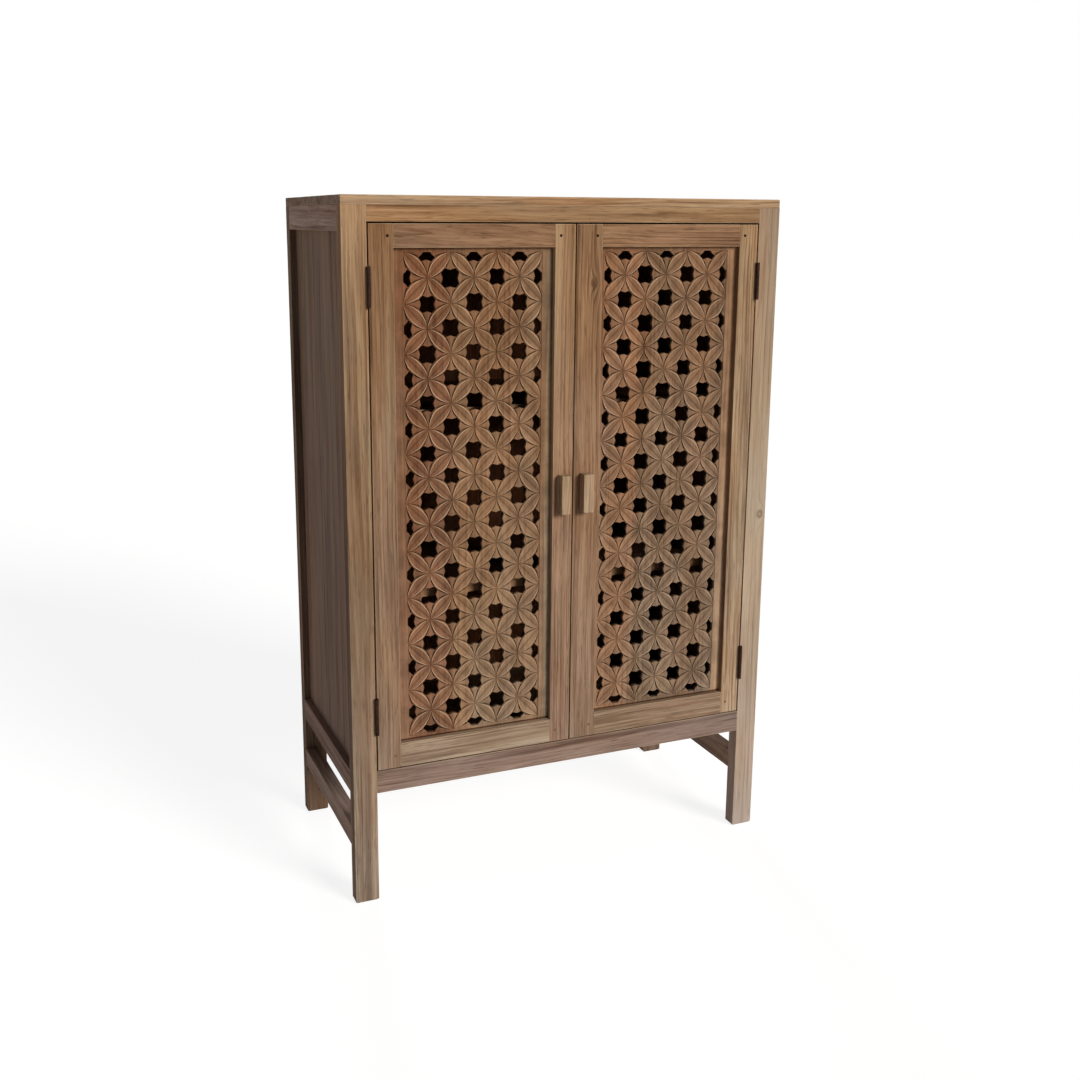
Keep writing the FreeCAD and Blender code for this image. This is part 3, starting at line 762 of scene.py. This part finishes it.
def carvingTree():
    tree = bpy.data.node_groups.new("carvingGrid", "GeometryNodeTree")
    inputs = {}
    for label, kind in gridInputs.items():
        socket = tree.interface.new_socket(label, in_out="INPUT", socket_type="NodeSocket" + kind)
        inputs[label] = socket.identifier
    tree.interface.new_socket("Geometry", in_out="OUTPUT", socket_type="NodeSocketGeometry")
    given = addNode(tree, "NodeGroupInput").outputs
    grid = addNode(tree, "GeometryNodeMeshGrid")
    for count, size, vertices, length in (
        ("Columns", "Tile Width", "Vertices X", "Size X"),
        ("Rows", "Tile Height", "Vertices Y", "Size Y"),
    ):
        steps = calc(tree, "SUBTRACT", given[count], 1.0)
        feed(tree, grid.inputs[length], calc(tree, "MULTIPLY", steps, given[size]))
        feed(tree, grid.inputs[vertices], given[count])
    upright = addNode(tree, "GeometryNodeTransform")
    upright.inputs["Rotation"].default_value = (math.pi / 2, 0, 0)
    feed(tree, upright.inputs["Geometry"], grid.outputs["Mesh"])
    tile = addNode(tree, "GeometryNodeObjectInfo")
    feed(tree, tile.inputs["Object"], given["Tile"])
    spreadOut = addNode(tree, "GeometryNodeInstanceOnPoints")
    feed(tree, spreadOut.inputs["Points"], upright.outputs["Geometry"])
    feed(tree, spreadOut.inputs["Instance"], tile.outputs["Geometry"])
    real = addNode(tree, "GeometryNodeRealizeInstances")
    feed(tree, real.inputs["Geometry"], spreadOut.outputs["Instances"])
    welded = addNode(tree, "GeometryNodeMergeByDistance")
    feed(tree, welded.inputs["Geometry"], real.outputs["Geometry"])
    feed(tree, welded.inputs["Distance"], given["Weld"])
    wooden = addNode(tree, "GeometryNodeSetMaterial")
    feed(tree, wooden.inputs["Geometry"], welded.outputs["Geometry"])
    feed(tree, wooden.inputs["Material"], given["Wood"])
    result = addNode(tree, "NodeGroupOutput")
    feed(tree, result.inputs["Geometry"], wooden.outputs["Geometry"])
    return tree, inputs


def growField(tree, inputs, tile):
    holder = bpy.data.objects.new("carvingHolder", bpy.data.meshes.new("carvingHolder"))
    bpy.context.scene.collection.objects.link(holder)
    modifier = holder.modifiers.new("carvingGrid", "NODES")
    modifier.node_group = tree
    values = {"Tile": tile, "Columns": carving["columns"], "Rows": carving["rows"], "Weld": carving["weld"],
              "Tile Width": carving["tileWidth"], "Tile Height": carving["tileHeight"],
              "Wood": woods[carvedBoard["slot"]]}
    for label, value in values.items():
        modifier[inputs[label]] = value
    graph = bpy.context.evaluated_depsgraph_get()
    mesh = bpy.data.meshes.new_from_object(holder.evaluated_get(graph))
    bpy.data.objects.remove(holder)
    return mesh


def gatherRows(shape, fixed, edgeValue, front):
    # front and back points that face each other on one border of the carved field
    along = acrossAxis if fixed == upAxis else upAxis
    near = carving["weld"]
    border = []
    for vertex in shape.verts:
        if vertex.is_boundary and abs(vertex.co[fixed] - edgeValue) < near and vertex.co.y > front + near:
            border.append(vertex)
    border.sort(key=lambda vertex: vertex.co[along])
    rows = []
    for vertex in border:
        if rows and vertex.co[along] - rows[-1][0].co[along] < near:
            rows[-1].append(vertex)
        else:
            rows.append([vertex])
    return [sorted(row, key=lambda vertex: vertex.co.y) for row in rows]


def closeSide(shape, fixed, edgeValue, outerValue, panelEnds, front, back):
    # one side of the panel: step up from the carving, flat margin, back and outer edge
    along = acrossAxis if fixed == upAxis else upAxis

    def point(alongValue, fixedValue, depth):
        place = Vector((0, depth, 0))
        place[along] = alongValue
        place[fixed] = fixedValue
        return shape.verts.new(place)

    strips = []
    for row in gatherRows(shape, fixed, edgeValue, front):
        spot = row[0].co[along]
        top = point(spot, edgeValue, front)
        strips.append((row[0], row[-1], top, point(spot, outerValue, front), point(spot, outerValue, back)))
    for one, two in zip(strips[:-1], strips[1:]):
        carved, under, top, outerTop, outerUnder = one
        carved2, under2, top2, outerTop2, outerUnder2 = two
        if shape.edges.get((carved, carved2)):
            shape.faces.new((top, top2, carved2, carved))
        else:
            shape.faces.new((top, top2, carved2, under2, under, carved))
        shape.faces.new((top, outerTop, outerTop2, top2))
        shape.faces.new((under, under2, outerUnder2, outerUnder))
        shape.faces.new((outerTop, outerUnder, outerUnder2, outerTop2))
    if panelEnds is None:
        return
    for strip, end in ((strips[0], panelEnds[0]), (strips[-1], panelEnds[1])):
        under, top, outerTop, outerUnder = strip[1:]
        innerTop2 = point(end, edgeValue, front)
        innerUnder2 = point(end, edgeValue, back)
        outerTop2 = point(end, outerValue, front)
        outerUnder2 = point(end, outerValue, back)
        shape.faces.new((top, outerTop, outerTop2, innerTop2))
        shape.faces.new((under, innerUnder2, outerUnder2, outerUnder))
        shape.faces.new((outerTop, outerUnder, outerUnder2, outerTop2))
        shape.faces.new((innerTop2, outerTop2, outerUnder2, innerUnder2))


def nearestHole(across, up):
    column, row = round(across), round(up)
    if (column + row) % 2 == 0:
        if abs(across - column) > abs(up - row):
            column += 1 if across > column else -1
        else:
            row += 1 if up > row else -1
    return column, row


def noisePlace(vertex, scale, layer):
    return Vector((vertex.co.x * scale, layer, vertex.co.z * scale))


def handCarve(shape, side, fieldLeft, fieldLow, front):
    # holes differ a little in size and place, leaves wander, and the knife leaves uneven depths
    draw = random.Random(side + str(carving["seed"]))
    noise.seed_set(carving["seed"])
    halfWidth = carving["tileWidth"] / 2
    halfHeight = carving["tileHeight"] / 2
    acrossEnd = carving["columns"] * 2
    upEnd = carving["rows"] * 2
    atEdge, atInner = carving["borderLength"]
    near, far = carving["borderHold"]
    grow = carving["holeGrow"]
    shift = carving["holeShift"]
    holes = {}
    for column in range(acrossEnd + 1):
        for row in range(upEnd + 1):
            holes[column, row] = [draw.uniform(-1, 1) for value in range(3)]
    layer = draw.uniform(0, carving["noiseRange"])
    for vertex in shape.verts:
        across = (vertex.co.x - fieldLeft) / halfWidth
        up = (vertex.co.z - fieldLow) / halfHeight
        room = min(across, acrossEnd - across, up, upEnd - up)
        if room < -carving["edgeSlack"]:
            continue
        hold = smoothStep(room / carving["holdReach"])
        rough = 1.0
        if side == carving["roughSide"]:
            rough += carving["roughBoost"] * (1 - smoothStep(across / carving["roughColumns"]))
        column, row = nearestHole(across, up)
        away = max(abs(across - column), abs(up - row))
        taper = 1 - smoothStep((away - near) / (far - near))
        shorter = 1 - (atEdge + (atInner - atEdge) * smoothStep(room / carving["borderReach"]))
        if column in (0, acrossEnd):
            vertex.co.z -= (up - row) * halfHeight * shorter * taper
        elif row in (0, upEnd):
            vertex.co.x -= (across - column) * halfWidth * shorter * taper
        if room < carving["edgeSlack"]:
            continue
        sideways, upright, size = holes[column, row]
        gap = math.hypot(across - column, up - row)
        pull = 1 - smoothStep((gap - carving["holeNear"]) / carving["holeFade"])
        pull = pull * hold * carving["holeSway"]
        moveX = ((across - column) * size * grow + sideways * shift) * pull * halfWidth
        moveZ = ((up - row) * size * grow + upright * shift) * pull * halfHeight
        wave = noise.noise_vector(noisePlace(vertex, carving["swayScale"], layer))
        depth = vertex.co.y - front
        if depth < carving["deepest"]:
            slow = noise.noise(noisePlace(vertex, carving["slowScale"], layer + carving["slowLayer"]))
            quick = noise.noise(noisePlace(vertex, carving["quickScale"], layer + carving["quickLayer"]))
            depth += (slow * carving["unevenDepth"] + quick * carving["knifeMarks"]) * hold * rough
            vertex.co.y = front + max(depth, carving["leastDepth"])
        vertex.co.x += moveX + wave.x * carving["sway"] * hold * rough
        vertex.co.z += moveZ + wave.z * carving["sway"] * hold * rough


def reliefOf(depth):
    if depth < carving["flush"]:
        return carving["marginRelief"]
    return min(max(1 - depth / carving["deepest"], 0.0), 1.0)


def writeRelief(mesh, relief):
    # the uncarved back takes the tone of the margin
    normals = np.empty(len(mesh.polygons) * 3)
    mesh.polygons.foreach_get("normal", normals)
    sizes = np.empty(len(mesh.polygons), dtype=np.int64)
    mesh.polygons.foreach_get("loop_total", sizes)
    values = np.array(relief)[cornerVertices(mesh)]
    backward = np.repeat(normals.reshape(-1, 3)[:, depthAxis], sizes)
    values[backward > carving["backFacing"]] = carving["marginRelief"]
    layer = mesh.attributes.new("relief", "FLOAT", "CORNER")
    layer.data.foreach_set("value", values.astype(np.float32))


# the panels are glued up from strips of differing colour: share across the panel where it starts, and tint
carvedStrips = {
    "left": ((0.0, (0.74, 0.66, 0.68)), (0.085, (0.71, 0.55, 0.51)), (0.36, (0.87, 0.79, 0.75)),
             (0.66, (0.87, 0.79, 0.77)), (0.93, (0.69, 0.94, 1.11))),
    "right": ((0.0, (0.91, 0.81, 0.82)), (0.3, (0.79, 0.75, 0.77)), (0.6, (0.77, 0.75, 0.80)),
              (0.92, (1.49, 1.40, 1.38))),
}
carvedBoard = timber("z", "carved_wood", tilt=0.01, calm=0.55, tints=((1.05, 1.15, 1.26), (0.95, 0.86, 0.77)))
seamWidth = 6 * mm


def stripTints(mesh, side, left, right):
    across = readCorners(mesh)[:, :1]
    strips = [(share, np.array(tint)) for share, tint in carvedStrips[side]]
    before = strips[0][1]
    tints = np.tile(before, (len(across), 1))
    for share, after in strips[1:]:
        seam = left + (right - left) * share
        step = np.clip((across - seam) / seamWidth + 0.5, 0, 1)
        tints += step * (after - before)
        before = after
    return tints


def carvePanel(side, tree, inputs, tile):
    node = side + "_carved_panel"
    low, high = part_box(node)
    stileLow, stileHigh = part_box(side + "_hinge_stile")
    fieldWidth = carving["columns"] * carving["tileWidth"]
    fieldHeight = carving["rows"] * carving["tileHeight"]
    fieldLeft = stileHigh.x + carving["margin"]
    if side == "right":
        fieldLeft = stileLow.x - carving["margin"] - fieldWidth
    opening = (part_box(side + "_door_bottom_rail")[1].z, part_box(side + "_door_top_rail")[0].z)
    fieldLow = (sum(opening) - fieldHeight) / 2
    fieldRight = fieldLeft + fieldWidth
    fieldTop = fieldLow + fieldHeight
    shape = bmesh.new()
    shape.from_mesh(growField(tree, inputs, tile))
    middle = Vector((fieldLeft + fieldWidth / 2, low.y, fieldLow + fieldHeight / 2))
    bmesh.ops.translate(shape, verts=shape.verts, vec=middle)
    closeSide(shape, acrossAxis, fieldLeft, low.x, (low.z, high.z), low.y, high.y)
    closeSide(shape, acrossAxis, fieldRight, high.x, (low.z, high.z), low.y, high.y)
    closeSide(shape, upAxis, fieldLow, low.z, None, low.y, high.y)
    closeSide(shape, upAxis, fieldTop, high.z, None, low.y, high.y)
    bmesh.ops.remove_doubles(shape, verts=shape.verts, dist=carving["weld"])
    bmesh.ops.recalc_face_normals(shape, faces=shape.faces)
    lineTop = opening[0] + carving["lineHeight"]
    for level in (lineTop, lineTop + carving["lineFade"]):
        cutAt(shape, upAxis, Vector((0, 0, level)))
    openEdges = [edge for edge in shape.edges if not edge.is_manifold]
    relief = [reliefOf(vertex.co.y - low.y) for vertex in shape.verts]
    handCarve(shape, side, fieldLeft, fieldLow, low.y)
    mesh = bpy.data.meshes.new(node + "_carving")
    shape.to_mesh(mesh)
    shape.free()
    writeRelief(mesh, relief)
    shade = stripTints(mesh, side, low.x, high.x)
    inLine = readCorners(mesh)[:, upAxis] < lineTop + carving["lineFade"] / 2
    shade[inLine] *= carving["lineShade"]  # painted shade in the recess above the bottom rail
    writeGrain(mesh, node, carvedBoard, shadeOf=shade)
    mesh.materials.clear()  # also resets the material index of the faces
    mesh.materials.append(woods[carvedBoard["slot"]])
    mesh.polygons.foreach_set("use_smooth", [True] * len(mesh.polygons))
    mesh.set_sharp_from_angle(angle=carving["sharpTurn"])
    print(side, "panel carved:", len(mesh.polygons), "faces,", len(openEdges), "open edges")
    placePiece(node + "_carving", mesh, node)


panelFront, panelBack = (corner.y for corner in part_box("left_carved_panel"))
tile = bpy.data.objects.new("carvedTile", tileMesh(panelBack - panelFront))
bpy.context.scene.collection.objects.link(tile)
carvingNodes, carvingInputs = carvingTree()
for side in ("left", "right"):
    carvePanel(side, carvingNodes, carvingInputs, tile)
bpy.data.objects.remove(tile)


# small fittings keep their own shapes and get worn finishes: grain is specks in a metre
fittingDefaults = {"speckDetail": 4.0, "patchSpecks": 9, "patchDetail": 3.0, "wornLimits": (0.36, 0.64),
                   "roughLimits": (0.3, 0.7), "bumpStrength": 0.3, "bumpHeight": 0.1 * mm}
fittings = {
    "hinge_metal": {"dark": linear(18, 9, 6), "light": linear(60, 36, 25), "metal": 0.3,
                    "rough": (0.42, 0.68), "grain": 380.0, "shine": 0.15,
                    "nodes": ("hinge_frame_leaf", "hinge_door_leaf", "hinge_pin")},
    "screw_steel": {"dark": linear(92, 84, 76), "light": linear(160, 152, 140), "metal": 1.0,
                    "rough": (0.3, 0.5), "grain": 600.0, "shine": 0.5, "nodes": ("screws",)},
    "strike_steel": {"dark": linear(140, 138, 134), "light": linear(190, 188, 184), "metal": 1.0,
                     "rough": (0.25, 0.42), "grain": 500.0, "shine": 0.5, "nodes": ("strike_plate",)},
    "catch_plastic": {"dark": linear(58, 38, 26), "light": linear(78, 54, 38), "metal": 0.0,
                      "rough": (0.42, 0.58), "grain": 900.0, "shine": 0.2, "nodes": ("catch",)},
    "peg_wood": {"dark": linear(20, 11, 6), "light": linear(58, 36, 22), "metal": 0.0,
                 "rough": (0.6, 0.85), "grain": 700.0, "shine": 0.05, "nodes": ("pegs",),
                 "faded": linear(118, 88, 62), "fadedHeights": (0.9, 0.4)},
}


def fittingMaterial(slot, changes):
    look = {**fittingDefaults, **changes}
    material, tree, shader = newMaterial(slot + "Finish")
    place = addNode(tree, "ShaderNodeTexCoord").outputs["Object"]
    fine = look["grain"]
    coarse = fine / look["patchSpecks"]
    specks = grainNoise(tree, place, (fine, fine, fine), look["speckDetail"])
    patch = grainNoise(tree, place, (coarse, coarse, coarse), look["patchDetail"])
    mixed = calc(tree, "MULTIPLY", calc(tree, "ADD", specks, patch), 0.5)
    worn = spread(tree, mixed, *look["wornLimits"])
    colour = mixColour(tree, worn, look["dark"], look["light"])
    if "faded" in look:  # the lower ones have gone pale
        faded = spread(tree, split(tree, place)["Z"], *look["fadedHeights"])
        colour = mixColour(tree, faded, colour, look["faded"])
    tree.links.new(colour, shader.inputs["Base Color"])
    roughness = spread(tree, mixed, *look["roughLimits"], *look["rough"])
    tree.links.new(roughness, shader.inputs["Roughness"])
    shader.inputs["Metallic"].default_value = look["metal"]
    shader.inputs["Specular IOR Level"].default_value = look["shine"]
    addBump(tree, shader, specks, look)
    return material


for slot, look in fittings.items():
    finish = fittingMaterial(slot, look)
    for name, piece in frame["nodes"].items():
        if name.endswith(look["nodes"]):
            piece.data.materials.clear()
            piece.data.materials.append(finish)
print("fittings finished:", len(fittings))


# studio: white surroundings for the camera, a dim cool sky for the object, one soft sun from the front right
# and a weaker one for the back
studio = {
    "sky": 0.096,
    "skyColour": (0.93, 0.95, 1.1, 1),
    "white": (1, 1, 1, 1),
    "suns": {
        "softSun": {"from": (0.42, -0.85, 0.36), "power": 3.0, "spread": math.radians(24)},
        "backFill": {"from": (0.16, 0.96, 0.14), "power": 1.3, "spread": math.radians(12)},
    },
    "sunColour": (1.0, 0.98, 0.93),
    "floorReach": 60.0,
    "floorColour": (0.9, 0.9, 0.9, 1),
    "floorRoughness": 0.9,
    "floorShine": 0.1,
    "floorGlow": 0.62,
    "glowPower": 1.36,
}


def seenDirectly(tree):
    rays = addNode(tree, "ShaderNodeLightPath").outputs
    seen = calc(tree, "MAXIMUM", rays["Is Camera Ray"], rays["Is Glossy Ray"])
    return calc(tree, "MAXIMUM", seen, rays["Is Transmission Ray"])


def makeSky():
    world = bpy.data.worlds.new("studioSky")
    bpy.context.scene.world = world
    world.use_nodes = True
    tree = world.node_tree
    sky = tree.nodes["Background"]
    sky.inputs["Color"].default_value = studio["skyColour"]
    sky.inputs["Strength"].default_value = studio["sky"]
    white = addNode(tree, "ShaderNodeBackground")
    white.inputs["Color"].default_value = studio["white"]
    chosen = addNode(tree, "ShaderNodeMixShader")
    feed(tree, chosen.inputs["Fac"], seenDirectly(tree))
    feed(tree, chosen.inputs[1], sky.outputs["Background"])
    feed(tree, chosen.inputs[2], white.outputs["Background"])
    feed(tree, tree.nodes["World Output"].inputs["Surface"], chosen.outputs["Shader"])


def makeFloor():
    reach = studio["floorReach"]
    mesh = bpy.data.meshes.new("studioFloor")
    corners = [(-reach, -reach, 0), (reach, -reach, 0), (reach, reach, 0), (-reach, reach, 0)]
    mesh.from_pydata(corners, [], [(0, 1, 2, 3)])
    floor = bpy.data.objects.new("studioFloor", mesh)
    bpy.context.scene.collection.objects.link(floor)
    material, tree, shader = newMaterial("paleFloor")
    shader.inputs["Base Color"].default_value = studio["floorColour"]
    shader.inputs["Roughness"].default_value = studio["floorRoughness"]
    shader.inputs["Specular IOR Level"].default_value = studio["floorShine"]
    glow = addNode(tree, "ShaderNodeEmission")
    glow.inputs["Strength"].default_value = studio["glowPower"]
    chosen = addNode(tree, "ShaderNodeMixShader")
    feed(tree, chosen.inputs["Fac"], calc(tree, "MULTIPLY", seenDirectly(tree), studio["floorGlow"]))
    feed(tree, chosen.inputs[1], shader.outputs["BSDF"])
    feed(tree, chosen.inputs[2], glow.outputs["Emission"])
    feed(tree, tree.nodes["Material Output"].inputs["Surface"], chosen.outputs["Shader"])
    mesh.materials.append(material)


def makeSun(name, settings):
    light = bpy.data.lights.new(name, "SUN")
    light.energy = settings["power"]
    light.angle = settings["spread"]
    light.color = studio["sunColour"]
    sun = bpy.data.objects.new(name, light)
    bpy.context.scene.collection.objects.link(sun)
    sun.rotation_euler = Vector(settings["from"]).to_track_quat("Z", "Y").to_euler()


makeSky()
makeFloor()
for name, settings in studio["suns"].items():
    makeSun(name, settings)
print("studio lit")


# camera: fitted to the corners of the case
viewpoint = {
    "place": (-0.88669, -2.06444, 1.16059),
    "yaw": 0.39038,
    "pitch": -0.20818,
    "roll": 0.00470,
    "lens": 40.771,
    "sensor": 36.0,
    "shift": (0.02656, -0.05602),
}


def makeCamera():
    lens = bpy.data.cameras.new("photoCamera")
    lens.lens = viewpoint["lens"]
    lens.sensor_width = viewpoint["sensor"]
    lens.shift_x, lens.shift_y = viewpoint["shift"]
    camera = bpy.data.objects.new("photoCamera", lens)
    bpy.context.scene.collection.objects.link(camera)
    yaw, pitch, roll = (viewpoint[key] for key in ("yaw", "pitch", "roll"))
    ahead = Vector((math.sin(yaw) * math.cos(pitch), math.cos(yaw) * math.cos(pitch), math.sin(pitch)))
    right = Vector((math.cos(yaw), -math.sin(yaw), 0))
    upward = right.cross(ahead)
    rolledRight = right * math.cos(roll) + upward * math.sin(roll)
    rolledUp = upward * math.cos(roll) - right * math.sin(roll)
    turn = Matrix((rolledRight, rolledUp, -ahead)).transposed().to_4x4()
    camera.matrix_world = Matrix.Translation(viewpoint["place"]) @ turn
    bpy.context.scene.camera = camera


makeCamera()
bpy.context.scene.view_settings.view_transform = "Standard"
print("camera set")
